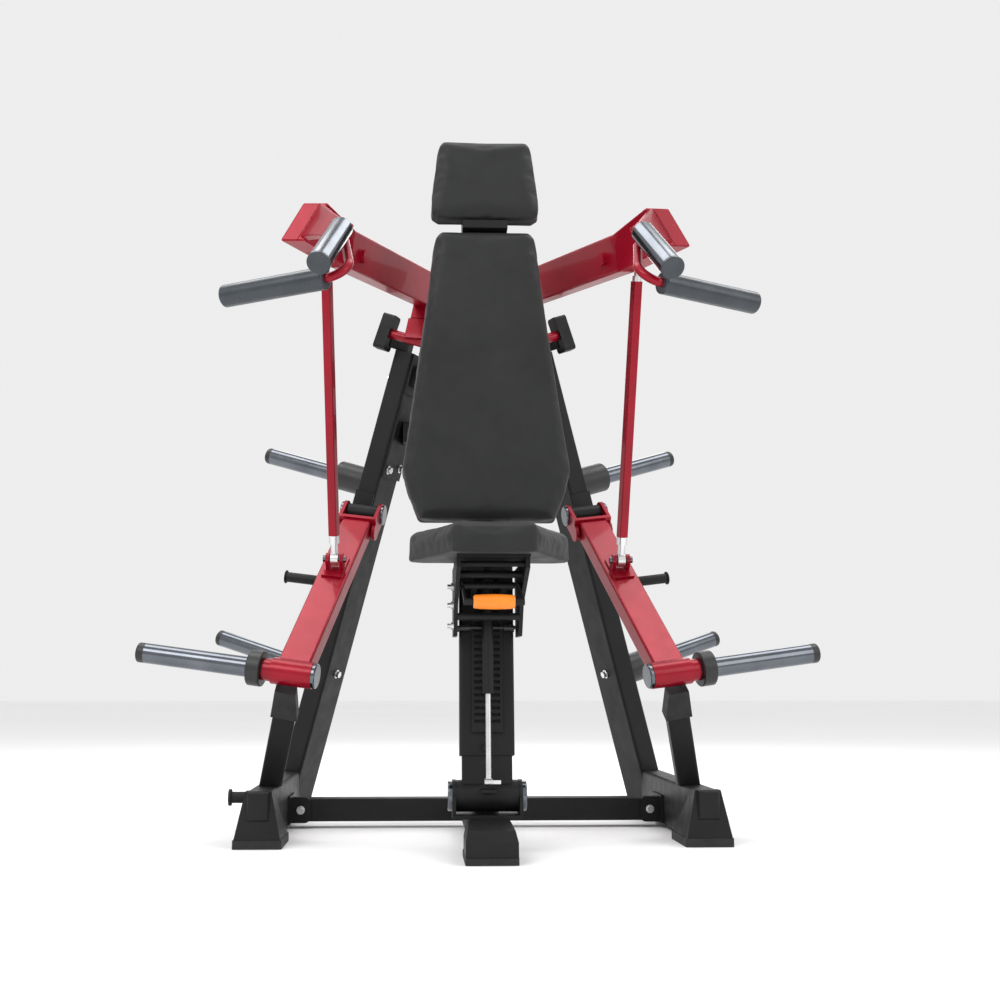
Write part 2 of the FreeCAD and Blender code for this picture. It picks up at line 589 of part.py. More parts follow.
# one band peg on the flared shoe of the -X floor rail
PEG_Y, PEG_Z, PEG_R = -396.0, 112.0, 13.0
peg = rod(V(-RAIL_X - 30.2, PEG_Y, PEG_Z), V(-RAIL_X - 66, PEG_Y, PEG_Z), PEG_R)
peg = peg.fuse(rod(V(-RAIL_X - 66, PEG_Y, PEG_Z), V(-RAIL_X - 72, PEG_Y, PEG_Z), PEG_R + 6))
peg = largest(peg.cut(mirror(rail)))
parts["foot_band_peg"] = peg

# ---- stop bumpers under the levers' hubs ----------------------------------------------------
HUB_R = 32.0
hub_in, hub_out = -50.0, 50.0
hub_clear = rod(on_lever(LEVER_LEN, -200), on_lever(LEVER_LEN, 200), HUB_R + 0.4)
bump_low, bump_high = post_high + post_dir * 0.1, post_high + post_dir * 66 + V(9, 0, 0)


def square_ring(centre, w, d):
    v = unit(post_dir.cross(X_AXIS))
    u = unit(v.cross(post_dir))
    corners = [(-w, -d), (w, -d), (w, d), (-w, d), (-w, -d)]
    return Part.makePolygon([centre + u * (a / 2) + v * (b / 2) for a, b in corners])


bumper = Part.makeLoft([square_ring(bump_low, 64, 60), square_ring(bump_high, 50, 50)], True, True)
bumper = bumper.cut(hub_clear)
bumper = max(bumper.Solids, key=lambda p: p.CenterOfMass.z * -1.0)
parts["stop_bumpers"] = group([bumper, mirror(bumper)])

# ---- frame fasteners ------------------------------------------------------------------------
def hex_bolt(face_point, direction, across=17.0):
    """A hexagon head on its washer."""
    d = unit(direction)
    side = unit(d.cross(V(0.31, 0.2, 0.93)))
    other = d.cross(side)
    washer = rod(face_point + d * 0.1, face_point + d * 2.2, across * 0.72)
    pts = []
    for k in range(6):
        a = math.radians(60 * k)
        pts.append(face_point + d * 2.1 + side * (across * 0.577 * math.cos(a))
                   + other * (across * 0.577 * math.sin(a)))
    return washer.fuse(plate(pts, d * 9)).removeSplitter()


side_bolts = [
    hex_bolt(upright_point(400, 0, 60), up_out * -1.0),
    hex_bolt(upright_point(CROSS_HIGH - 108, -6.1, 26), up_out * -1.0),
    hex_bolt(upright_point(CROSS_HIGH - 96, -6.1, 98), up_out * -1.0),
    hex_bolt(V(inner_x - 31, -8, 47), V(0, -1, 0), 15),
    hex_bolt(upright_point(1222, 72.1, 56), up_out),
    hex_bolt(upright_point(1222, 72.1, 98), up_out),
    hex_bolt(upright_point(1280, 72.1, 98), up_out),
]
parts["frame_bolts"] = group(side_bolts + [mirror(b) for b in side_bolts])

# ---- weight levers --------------------------------------------------------------------------
FORK_GAP = PIVOT_HALF + 2.0
hub = rod(on_lever(LEVER_LEN, hub_in), on_lever(LEVER_LEN, hub_out), HUB_R)
hub = hub.fuse(rod(on_lever(LEVER_LEN, hub_out - 1), on_lever(LEVER_LEN, hub_out + 22), 27))
arm_tube = tube(on_lever(62), on_lever(LEVER_LEN), lever_axis, LEVER_W, LEVER_T, r=6.0)
arm_tube = arm_tube.cut(rod(on_lever(LEVER_LEN, -90), on_lever(LEVER_LEN, 90), HUB_R - 3))
fork_plate = bar(on_lever(52), on_lever(62.5), lever_axis, 2 * (FORK_GAP + 9), 62, 5.0)
fork = [fork_plate]
for s in (1, -1):
    mid = s * (FORK_GAP + 4.5)
    fork.append(rod(on_lever(0, mid - 4.5), on_lever(0, mid + 4.5), 30))
    fork.append(bar(on_lever(0, mid), on_lever(60, mid), lever_axis, 9, 60))
    wing = rod(on_lever(64, mid - 4.5, -10), on_lever(64, mid + 4.5, -10), 24)
    fork.append(wing)
lever = join(hub, arm_tube, *fork)
bore_in, bore_out = on_lever(LEVER_LEN, hub_in - 5), on_lever(LEVER_LEN, hub_out + 30)
lever = lever.cut(rod(bore_in, bore_out, HORN_R - 1.5))
lever = lever.cut(rod(on_lever(0, -90), on_lever(0, 90), PIN_R))
clevis_axis = unit(CLEVIS_AXIS)
CLEVIS_BOLT_R = 5.0


def on_clevis(along):
    return CLEVIS_PIN + clevis_axis * along


for s in (1, -1):
    ear = rod(on_clevis(s * 13.5), on_clevis(s * 22.5), 15)
    ear = ear.fuse(bar(on_clevis(s * 18), on_clevis(s * 18) - lever_top * 34, clevis_axis, 9, 30))
    lever = lever.fuse(ear)
clevis_base = bar(on_lever(236, 0, LEVER_T / 2 + 2.9), on_lever(316, 0, LEVER_T / 2 + 2.9), lever_axis,
                  54, 6)
lever = lever.fuse(clevis_base)
lever = lever.cut(rod(on_clevis(-40), on_clevis(40), CLEVIS_BOLT_R + RUNNING_FIT)).removeSplitter()
both("weight_lever", lever)

pin_shape = rod(on_lever(0, -FORK_GAP - 9.5), on_lever(0, FORK_GAP + 9.5), PIN_R - RUNNING_FIT)
for s in (1, -1):
    p, q = on_lever(0, s * (FORK_GAP + 9.1)), on_lever(0, s * (FORK_GAP + 17))
    head = rod(p, q, 27)
    head = round_edges(head, 3.0, lambda e, q=q: (
        e.Length > 100 and abs((e.BoundBox.Center - q).dot(lever_axis)) < 0.5))
    pin_shape = pin_shape.fuse(head)
clevis_bolt = rod(on_clevis(-23), on_clevis(23), CLEVIS_BOLT_R)
for s in (1, -1):
    clevis_bolt = clevis_bolt.fuse(rod(on_clevis(s * 22.6), on_clevis(s * 30), 9.0))
hub_cap = rod(on_lever(LEVER_LEN, hub_in - 0.1), on_lever(LEVER_LEN, hub_in - 10), 30)
cap_face = on_lever(LEVER_LEN, hub_in - 10)
hub_cap = round_edges(hub_cap, 3.5, lambda e: (
    e.Length > 100 and abs((e.BoundBox.Center - cap_face).dot(lever_axis)) < 0.5))
both("lever_pins", group([pin_shape.removeSplitter(), clevis_bolt.removeSplitter(), hub_cap]))

horn_start = hub_out + 60.0
horn = rod(on_lever(LEVER_LEN, hub_in), on_lever(LEVER_LEN, hub_out + 22.5), HORN_R - 1.55)
horn = horn.fuse(rod(on_lever(LEVER_LEN, hub_out + 22.4), on_lever(LEVER_LEN, horn_start), HORN_R - 1.0))
horn = horn.fuse(rod(on_lever(LEVER_LEN, horn_start), on_lever(LEVER_LEN, horn_start + HORN_LEN), HORN_R))
horn_bore = rod(on_lever(LEVER_LEN, hub_in + 6), on_lever(LEVER_LEN, horn_start + HORN_LEN + 1),
                HORN_R - HORN_WALL - 1)
both("load_horn", horn.cut(horn_bore).removeSplitter())
collar = rod(on_lever(LEVER_LEN, hub_out + 24), on_lever(LEVER_LEN, horn_start - 2), 42.5, HORN_R - 0.95)
collar = round_edges(collar, 3.0, lambda e: e.Length > 200)
end_plug = rod(on_lever(LEVER_LEN, horn_start + HORN_LEN + 0.1),
               on_lever(LEVER_LEN, horn_start + HORN_LEN + 20), HORN_R - 0.3)
plug_tip = on_lever(LEVER_LEN, horn_start + HORN_LEN + 20)
end_plug = round_edges(end_plug, 5.0, lambda e: (
    e.Length > 100 and abs((e.BoundBox.Center - plug_tip).dot(lever_axis)) < 0.5))
both("load_collar", group([collar, end_plug]))

LEVER_PEG_LEN = 84.0
peg_root = on_lever(306, LEVER_W / 2 + 0.1)
peg_end = peg_root + lever_axis * LEVER_PEG_LEN
lever_peg = rod(peg_root, peg_end, PEG_R)
peg_rim = rod(peg_end + lever_axis * 0.1, peg_end + lever_axis * 3, PEG_R + 4)
both("lever_peg", group([lever_peg, peg_rim]))

# ---- push rods ------------------------------------------------------------------------------
ROD_SIZE = 23.0
rod_dir = unit(ROD_STUD - CLEVIS_PIN)
rod_low, rod_high = CLEVIS_PIN + rod_dir * 62, ROD_STUD - rod_dir * 58
both("push_rod", tube(rod_low, rod_high, V(math.cos(spread), math.sin(spread), 0),
                      ROD_SIZE, ROD_SIZE, wall=2.5, r=3.0))
low_eye = rod(on_clevis(-9.5), on_clevis(9.5), 17.5)
low_eye = low_eye.fuse(rod(CLEVIS_PIN + rod_dir * 10, rod_low - rod_dir * 12, 9.5))
low_eye = low_eye.fuse(rod(rod_low - rod_dir * 20, rod_low - rod_dir * 0.1, 13.5))
low_eye = low_eye.cut(rod(on_clevis(-20), on_clevis(20), CLEVIS_BOLT_R + RUNNING_FIT))
EYE_R, EYE_BORE, EYE_HALF = 20.0, 12.5, 7.0
high_eye = rod(ROD_STUD - beam_side * EYE_HALF, ROD_STUD + beam_side * EYE_HALF, EYE_R)
high_eye = high_eye.fuse(rod(ROD_STUD - rod_dir * 16, rod_high + rod_dir * 12, 8))
high_eye = high_eye.fuse(rod(rod_high + rod_dir * 13, rod_high + rod_dir * 0.1, 12))
high_eye = high_eye.cut(rod(ROD_STUD - beam_side * 20, ROD_STUD + beam_side * 20, EYE_BORE))
both("rod_ends", group([low_eye.removeSplitter(), high_eye.removeSplitter()]))

# ---- press arms -----------------------------------------------------------------------------


def on_beam(forward, out=0.0, up=0.0):
    """A point on the beam, measured from the section level with the rod stud."""
    return BEAM_MID + beam_dir * forward + beam_side * out + beam_up * up


BEAM_REAR = -560.0
FACE_TOP_OUT, FACE_TOP_IN, FACE_LOW_OUT = V(430, -575, 1484), V(369, -597, 1477), V(485, -564, 1395)
beam = bar(on_beam(BEAM_REAR), on_beam(61), beam_side, BEAM_W, BEAM_H, 7.0)
beam = beam.cut(bar(on_beam(BEAM_REAR + 4), on_beam(57), beam_side, BEAM_W - 6, BEAM_H - 6, 4.0))


def head_shape(inset):
    """The flared head: from the beam's section to its slanted front face, shrunk by the inset."""
    w, h = BEAM_W / 2 - inset, BEAM_H / 2 - inset
    start = 60 + inset
    rear = [on_beam(start, -w, -h), on_beam(start, w, -h), on_beam(start, w, h), on_beam(start, -w, h)]
    across, tall = unit(FACE_TOP_OUT - FACE_TOP_IN), unit(FACE_LOW_OUT - FACE_TOP_OUT)
    low_in = FACE_TOP_IN + (FACE_LOW_OUT - FACE_TOP_OUT)
    front = []
    for corner, a, b in ((low_in, 1, -1), (FACE_LOW_OUT, -1, -1), (FACE_TOP_OUT, -1, 1), (FACE_TOP_IN, 1, 1)):
        front.append(corner + (across * a + tall * b) * inset - beam_dir * inset)
    rings = [Part.makePolygon(points + [points[0]]) for points in (rear, front)]
    return Part.makeLoft(rings, True, True)


front_dir = unit((FACE_TOP_OUT - FACE_TOP_IN).cross(FACE_LOW_OUT - FACE_TOP_OUT))
head_solid = head_shape(0.0)
head_solid = round_edges(head_solid, 4.0, lambda e: (
    abs((e.CenterOfMass - FACE_TOP_IN).dot(front_dir)) < 0.5
    or abs(unit(e.Vertexes[1].Point - e.Vertexes[0].Point).dot(beam_dir)) > 0.8))
head = head_solid.cut(head_shape(5.0))
seam_across = (FACE_TOP_OUT - FACE_TOP_IN) * 0.3
seam_down = FACE_LOW_OUT - FACE_TOP_OUT
seam_top = FACE_TOP_IN + seam_across - seam_down * 0.05
seam = plate([seam_top, seam_top + seam_down * 1.1, seam_top + seam_down * 1.1 - beam_dir * 2,
              seam_top - beam_dir * 2], unit(seam_across) * 1.6)
head = head.cut(seam)

NECK_INWARD, NECK_BACK = 106.0, -518.0
neck_low = on_shaft(NECK_INWARD)
neck_high = on_beam(NECK_BACK, 0, -BEAM_H / 2 + 1)
neck_mid = neck_low + (neck_high - neck_low) * 0.55
neck = bar(neck_low, neck_mid, arm_axis, 78, 52, 4.0)
neck = neck.fuse(bar(neck_mid + (neck_high - neck_low) * 0.02, neck_high, arm_axis, 66, 52, 4.0))
neck = neck.fuse(bar(neck_low, neck_high, arm_axis, 60, 44, 3.0))
shaft = rod(on_shaft(INNER_BEARING + 19), on_shaft(-19), SHAFT_R)
arm = join(beam, head, neck, shaft)
boss_c = ROD_STUD - beam_side * (ROD_STUD - BEAM_MID).dot(beam_side)
boss = rod(boss_c - beam_side * (BEAM_W / 2 + 11), boss_c + beam_side * (BEAM_W / 2 + 1), 17)
boss = boss.fuse(rod(boss_c, ROD_STUD - beam_side * 14, 13))
STUD_R = 5.5
stud = rod(boss_c, ROD_STUD + beam_side * 9, STUD_R)
both("press_arm", join(arm, boss, stud))

# handle: two grips on one bent bar, carried by a tapered bracket on the head of the arm
NEUTRAL_FRONT, NEUTRAL_BACK = V(363, -933, 1221), V(325, -800, 1345)
WIDE_IN, WIDE_OUT = V(350, -862, 1212), V(580, -755, 1201)
BAR_ROOT = V(320, -770, 1323)
BAR_R = 10.0
neutral_dir = unit(NEUTRAL_FRONT - NEUTRAL_BACK)
wide_dir = unit(WIDE_OUT - WIDE_IN)
BEND_R = 38.0


def bent_bar(start, corner, end, bend_r, r):
    """A round bar from start to end, bent round at the corner."""
    d0, d1 = unit(start - corner), unit(end - corner)
    half = math.acos(d0.dot(d1)) / 2
    cut = bend_r / math.tan(half)
    middle = corner + unit(d0 + d1) * (bend_r / math.sin(half) - bend_r)
    t0, t1 = corner + d0 * cut, corner + d1 * cut
    path = Part.Wire([Part.makeLine(start, t0), Part.Arc(t0, middle, t1).toShape(), Part.makeLine(t1, end)])
    ring_wire = Part.Wire([Part.Circle(start, d0, r).toShape()])
    return path.makePipeShell([ring_wire], True, False)


bar_corner = WIDE_IN - wide_dir * 56
bent = bent_bar(BAR_ROOT, bar_corner, WIDE_OUT - wide_dir * 4, BEND_R, BAR_R)
core = rod(NEUTRAL_BACK - neutral_dir * 24, NEUTRAL_FRONT - neutral_dir * 4, BAR_R)

# gusset from the inner edge of the head to the bent bar, with both long edges hollowed
face_low_in = FACE_TOP_IN + FACE_LOW_OUT - FACE_TOP_OUT
root = (FACE_TOP_IN + face_low_in) * 0.5 + (FACE_TOP_OUT - FACE_TOP_IN) * 0.14 - beam_dir * 6
tip = (BAR_ROOT + NEUTRAL_BACK) * 0.5 - neutral_dir * 8
gusset_up = unit(FACE_TOP_IN - face_low_in)
reach = tip - root
gusset_out = unit(reach - gusset_up * reach.dot(gusset_up))
gusset_len, gusset_drop = reach.dot(gusset_out), reach.dot(gusset_up)
GUSSET_T, ROOT_HALF, TIP_HALF = 20.0, 47.0, 26.0


def gusset_edge(sign):
    """One hollowed long edge, from the head towards the bar."""
    points = []
    for k in range(9):
        t = k / 8
        middle = gusset_drop * (0.35 * t + 0.65 * t * t)
        half = TIP_HALF + (ROOT_HALF - TIP_HALF) * (1 - t) ** 2.2
        points.append(root + gusset_out * (gusset_len * t) + gusset_up * (middle + sign * half))
    return points


gusset_side = unit(gusset_out.cross(gusset_up))
outline = gusset_edge(1) + list(reversed(gusset_edge(-1)))
gusset = plate([p - gusset_side * (GUSSET_T / 2) for p in outline], gusset_side * GUSSET_T)
gusset = chamfer_edges(gusset, 3.0, lambda e: (
    abs(abs((e.CenterOfMass - root).dot(gusset_side)) - GUSSET_T / 2) < 0.1
    and 0.03 * gusset_len < (e.CenterOfMass - root).dot(gusset_out) < 0.97 * gusset_len))
gusset = largest(gusset.cut(head_solid))
handle = gusset.fuse(bent).fuse(core)
GRIP_R = 25.0
neutral = rod(NEUTRAL_BACK + neutral_dir * 2, NEUTRAL_FRONT - neutral_dir * 3.2, GRIP_R, BAR_R + RUNNING_FIT)
handle = handle.cut(rod(NEUTRAL_BACK + neutral_dir * 1.8, NEUTRAL_FRONT, GRIP_R + 0.3, BAR_R))
both("handle_bar", largest(handle))
neutral = round_edges(neutral, 3.0, lambda e: (
    e.Length > 100 and abs((e.BoundBox.Center - NEUTRAL_BACK).dot(neutral_dir)) < 4))
both("neutral_grip", neutral)
face = NEUTRAL_FRONT - neutral_dir * 3.1
neutral_cap = rod(face, face + neutral_dir * 8, GRIP_R + 0.4)
cap_end = face + neutral_dir * 8
neutral_cap = round_edges(neutral_cap, 3.0, lambda e: (
    e.Length > 100 and abs((e.BoundBox.Center - cap_end).dot(neutral_dir)) < 0.5))
neutral_cap = neutral_cap.cut(rod(face - neutral_dir, face + neutral_dir * 5, BAR_R + RUNNING_FIT))
wide = rod(WIDE_IN + wide_dir * 3, WIDE_OUT, 24.5)
wide = round_edges(wide, 5.0, lambda e: e.Length > 100)
wide = wide.cut(rod(WIDE_IN - wide_dir * 4, WIDE_OUT - wide_dir * 3.9, BAR_R + RUNNING_FIT))
both("wide_grip", group([wide, neutral_cap]))

os.makedirs("parts", exist_ok=True)
for name in sorted(parts):
    shape = parts[name].copy()
    shape.translate(V(0, Y_SHIFT, 0))
    shape.exportStep("parts/" + name + ".step")
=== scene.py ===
import json
import math

import bmesh
import bpy
import numpy as np
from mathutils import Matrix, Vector


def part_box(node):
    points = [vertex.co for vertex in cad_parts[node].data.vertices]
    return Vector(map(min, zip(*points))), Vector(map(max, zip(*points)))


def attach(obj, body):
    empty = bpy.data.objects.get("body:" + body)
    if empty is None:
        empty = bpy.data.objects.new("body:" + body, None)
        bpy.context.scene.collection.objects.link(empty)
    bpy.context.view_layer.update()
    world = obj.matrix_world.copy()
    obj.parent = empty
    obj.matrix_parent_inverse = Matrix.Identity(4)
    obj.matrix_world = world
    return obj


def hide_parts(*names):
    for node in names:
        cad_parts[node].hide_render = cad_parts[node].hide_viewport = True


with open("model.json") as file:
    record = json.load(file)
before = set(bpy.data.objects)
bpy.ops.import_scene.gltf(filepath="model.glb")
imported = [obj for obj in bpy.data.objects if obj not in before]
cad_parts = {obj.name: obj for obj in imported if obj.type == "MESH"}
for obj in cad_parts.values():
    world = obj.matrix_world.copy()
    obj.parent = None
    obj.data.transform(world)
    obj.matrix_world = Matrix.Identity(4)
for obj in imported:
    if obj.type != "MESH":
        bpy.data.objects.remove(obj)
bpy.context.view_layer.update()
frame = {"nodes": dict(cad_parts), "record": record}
nodes = frame["nodes"]
scene = bpy.context.scene

MIX_A, MIX_B = 6, 7            # the colour inputs of a Mix node
PAD_RISE = 0.004               # how far cloth pressure may lift a pad's cover, metres
PAD_SHRINK = 0.003             # a pad starts this much smaller, metres
CLOTH_FRAMES = 20
CAMERA_LENS, CAMERA_SHIFT = 47.17, 0.027
CAMERA_PLACE = (-0.160, -3.27265, 0.3668)
CAMERA_PITCH, CAMERA_YAW = 98.09, -2.468

# ---- materials ------------------------------------------------------------------------------
def new_material(name):
    material = bpy.data.materials.new(name)
    material.use_nodes = True
    tree = material.node_tree
    return material, tree, tree.nodes["Principled BSDF"]


def add_noise(tree, scale, detail=4.0, stretch=(1, 1, 1)):
    """Noise in the object's own space, in features per metre."""
    place = tree.nodes.new("ShaderNodeTexCoord")
    mapping = tree.nodes.new("ShaderNodeMapping")
    mapping.inputs["Scale"].default_value = stretch
    noise = tree.nodes.new("ShaderNodeTexNoise")
    noise.inputs["Scale"].default_value = scale
    noise.inputs["Detail"].default_value = detail
    tree.links.new(place.outputs["Object"], mapping.inputs["Vector"])
    tree.links.new(mapping.outputs["Vector"], noise.inputs["Vector"])
    return noise.outputs["Fac"]


def add_ramp(tree, source, stops):
    """Maps a value to colours; stops are (position, colour)."""
    ramp = tree.nodes.new("ShaderNodeValToRGB")
    elements = ramp.color_ramp.elements
    elements[0].position, elements[0].color = stops[0][0], (*stops[0][1], 1)
    elements[1].position, elements[1].color = stops[-1][0], (*stops[-1][1], 1)
    for position, colour in stops[1:-1]:
        element = elements.new(position)
        element.color = (*colour, 1)
    tree.links.new(source, ramp.inputs["Fac"])
    return ramp.outputs["Color"]


def add_range(tree, source, low, high):
    """Maps a noise value from its usual spread to low..high."""
    node = tree.nodes.new("ShaderNodeMapRange")
    node.inputs["From Min"].default_value = 0.3
    node.inputs["From Max"].default_value = 0.7
    node.inputs["To Min"].default_value = low
    node.inputs["To Max"].default_value = high
    tree.links.new(source, node.inputs["Value"])
    return node.outputs["Result"]


def add_bump(tree, shader, source, strength, distance, under=None):
    bump = tree.nodes.new("ShaderNodeBump")
    bump.inputs["Strength"].default_value = strength
    bump.inputs["Distance"].default_value = distance
    tree.links.new(source, bump.inputs["Height"])
    if under is not None:
        tree.links.new(under, bump.inputs["Normal"])
    tree.links.new(bump.outputs["Normal"], shader.inputs["Normal"])
    return bump.outputs["Normal"]


def add_scuffs(tree, base, worn):
    """Sparse fine scuffs: the thin crests of a stretched noise, in a lighter tone."""
    crest = tree.nodes.new("ShaderNodeMapRange")
    crest.inputs["From Min"].default_value = 0.70
    crest.inputs["From Max"].default_value = 0.78
    tree.links.new(add_noise(tree, 60, 8, (1, 3, 3)), crest.inputs["Value"])
    mix = tree.nodes.new("ShaderNodeMix")
    mix.data_type = "RGBA"
    tree.links.new(crest.outputs["Result"], mix.inputs["Factor"])
    tree.links.new(base, mix.inputs[MIX_A])
    mix.inputs[MIX_B].default_value = (*worn, 1)
    return mix.outputs[2]


def painted(name, dark, light, rough, coat, metallic, specular, peel):
    """Powder coat or lacquer over steel: faint mottling, orange peel and fine scuffs."""
    material, tree, shader = new_material(name)
    mottled = add_ramp(tree, add_noise(tree, 7, 5), [(0.35, dark), (0.65, light)])
    worn = tuple(min(1.0, c * 1.4 + 0.012) for c in light)
    tree.links.new(add_scuffs(tree, mottled, worn), shader.inputs["Base Color"])
    tree.links.new(add_range(tree, add_noise(tree, 26, 4), *rough), shader.inputs["Roughness"])
    shader.inputs["Metallic"].default_value = metallic
    shader.inputs["Specular IOR Level"].default_value = specular
    shader.inputs["Coat Weight"].default_value = coat
    shader.inputs["Coat Roughness"].default_value = 0.04
    add_bump(tree, shader, add_noise(tree, 420, 2), peel, 0.0002)
    return material


def metal(name, dark, light, rough, brush, strength):
    """Bare or plated metal with fine marks and handling smudges."""
    material, tree, shader = new_material(name)
    tone = add_ramp(tree, add_noise(tree, 14, 6), [(0.3, dark), (0.7, light)])
    tree.links.new(tone, shader.inputs["Base Color"])
    tree.links.new(add_range(tree, add_noise(tree, 34, 6), *rough), shader.inputs["Roughness"])
    shader.inputs["Metallic"].default_value = 1.0
    add_bump(tree, shader, add_noise(tree, 300, 3, brush), strength, 0.0001)
    return material


def moulded(name, dark, light, rough, grain, strength, sheen=0.0):
    """Rubber or plastic with a moulded grain."""
    material, tree, shader = new_material(name)
    tone = add_ramp(tree, add_noise(tree, 18, 5), [(0.35, dark), (0.65, light)])
    tree.links.new(tone, shader.inputs["Base Color"])
    tree.links.new(add_range(tree, add_noise(tree, 40, 4), *rough), shader.inputs["Roughness"])
    shader.inputs["Sheen Weight"].default_value = sheen
    add_bump(tree, shader, add_noise(tree, grain, 3), strength, 0.0004)
    return material


def upholstery_material(name):
    """Dark grey artificial leather: pebbled cells over soft undulations."""
    material, tree, shader = new_material(name)
    tones = [(0.3, (0.013, 0.0135, 0.0135)), (0.7, (0.018, 0.0185, 0.0185))]
    tone = add_ramp(tree, add_noise(tree, 9, 6), tones)
    cells = tree.nodes.new("ShaderNodeTexVoronoi")
    cells.inputs["Scale"].default_value = 620
    place = tree.nodes.new("ShaderNodeTexCoord")
    tree.links.new(place.outputs["Object"], cells.inputs["Vector"])
    tree.links.new(tone, shader.inputs["Base Color"])
    tree.links.new(add_range(tree, add_noise(tree, 30, 5), 0.5, 0.66), shader.inputs["Roughness"])
    shader.inputs["Specular IOR Level"].default_value = 0.26
    shader.inputs["Sheen Weight"].default_value = 0.04
    shader.inputs["Sheen Roughness"].default_value = 0.5
    soft = add_bump(tree, shader, add_noise(tree, 16, 3), 0.12, 0.003)
    add_bump(tree, shader, cells.outputs["Distance"], 0.22, 0.0004, soft)
    return material


RED_DARK, RED_LIGHT = (0.25, 0.0005, 0.011), (0.31, 0.001, 0.015)
BLACK_DARK, BLACK_LIGHT = (0.0075, 0.0075, 0.0080), (0.0105, 0.0105, 0.0110)
red = painted("red_paint", RED_DARK, RED_LIGHT, (0.32, 0.40), 0.25, 0.3, 0.2, 0.03)
black = painted("black_paint", BLACK_DARK, BLACK_LIGHT, (0.42, 0.54), 0.0, 0.0, 0.22, 0.12)
chrome = metal("chrome", (0.11, 0.12, 0.135), (0.15, 0.16, 0.18), (0.12, 0.19), (1, 1, 1), 0.03)
zinc = metal("zinc_steel", (0.62, 0.62, 0.63), (0.76, 0.76, 0.77), (0.24, 0.36), (1, 1, 6), 0.1)
rubber = moulded("rubber", (0.006, 0.006, 0.0065), (0.011, 0.011, 0.012), (0.6, 0.8), 700, 0.3)
plastic = moulded("black_plastic", (0.008, 0.008, 0.009), (0.013, 0.013, 0.014), (0.38, 0.5), 800, 0.15)
plywood = moulded("board", (0.014, 0.013, 0.012), (0.024, 0.022, 0.020), (0.55, 0.7), 260, 0.3)
slate = moulded("dark_grip", (0.020, 0.026, 0.033), (0.032, 0.040, 0.049), (0.24, 0.34), 900, 0.10)
orange = moulded("orange_plastic", (0.86, 0.22, 0.012), (0.95, 0.29, 0.02), (0.3, 0.42), 800, 0.15)
leather = upholstery_material("upholstery")


def carriage_material():
    """Dark rollers and axles inside the carriage, plated bolt heads outside its -X cheek."""
    material, tree, shader = new_material("carriage_hardware")
    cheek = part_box("seat_carriage")[0][0]
    place = tree.nodes.new("ShaderNodeTexCoord")
    split = tree.nodes.new("ShaderNodeSeparateXYZ")
    tree.links.new(place.outputs["Object"], split.inputs["Vector"])
    outside = tree.nodes.new("ShaderNodeMath")
    outside.operation = "LESS_THAN"
    outside.inputs[1].default_value = cheek
    tree.links.new(split.outputs["X"], outside.inputs[0])
    plated_tones = [(0.3, (0.60, 0.60, 0.61)), (0.7, (0.74, 0.74, 0.75))]
    dark_tones = [(0.3, (0.010, 0.010, 0.011)), (0.7, (0.018, 0.018, 0.02))]
    plated = add_ramp(tree, add_noise(tree, 30, 4), plated_tones)
    dark = add_ramp(tree, add_noise(tree, 30, 4), dark_tones)
    mix = tree.nodes.new("ShaderNodeMix")
    mix.data_type = "RGBA"
    tree.links.new(outside.outputs["Value"], mix.inputs["Factor"])
    tree.links.new(dark, mix.inputs[MIX_A])
    tree.links.new(plated, mix.inputs[MIX_B])
    tree.links.new(mix.outputs[2], shader.inputs["Base Color"])
    tree.links.new(outside.outputs["Value"], shader.inputs["Metallic"])
    tree.links.new(add_range(tree, add_noise(tree, 40, 4), 0.28, 0.42), shader.inputs["Roughness"])
    add_bump(tree, shader, add_noise(tree, 400, 2), 0.1, 0.0001)
    return material


finish = {
    "red_paint": red, "black_paint": black, "chrome": chrome, "zinc_steel": zinc,
    "rubber": rubber, "dark_grip": slate, "orange_plastic": orange, "upholstery": leather,
    "black_plastic": plastic, "board": plywood,
}
for part in frame["record"]["subparts"]:
    mesh = nodes[part["node"]].data
    mesh.materials.clear()
    mesh.materials.append(finish[part["material_slot"]])
nodes["carriage_rollers"].data.materials[0] = carriage_material()
nodes["gas_rod"].data.materials[0] = zinc


# ---- upholstery -----------------------------------------------------------------------------
def pad_copy(node, name):
    """A welded copy of a soft CAD solid, ready to be upholstered."""
    mesh = nodes[node].data.copy()
    work = bmesh.new()
    work.from_mesh(mesh)
    bmesh.ops.remove_doubles(work, verts=work.verts, dist=1e-5)
    bmesh.ops.dissolve_limit(work, angle_limit=0.01, verts=work.verts, edges=work.edges)
    work.to_mesh(mesh)
    work.free()
    piece = bpy.data.objects.new(name, mesh)
    scene.collection.objects.link(piece)
    return piece


def bake_modifiers(piece):
    bpy.context.view_layer.update()
    graph = bpy.context.evaluated_depsgraph_get()
    mesh = bpy.data.meshes.new_from_object(piece.evaluated_get(graph))
    piece.modifiers.clear()
    piece.data = mesh


def points_of(mesh):
    flat = np.zeros(len(mesh.vertices) * 3)
    mesh.vertices.foreach_get("co", flat)
    return flat.reshape(-1, 3)


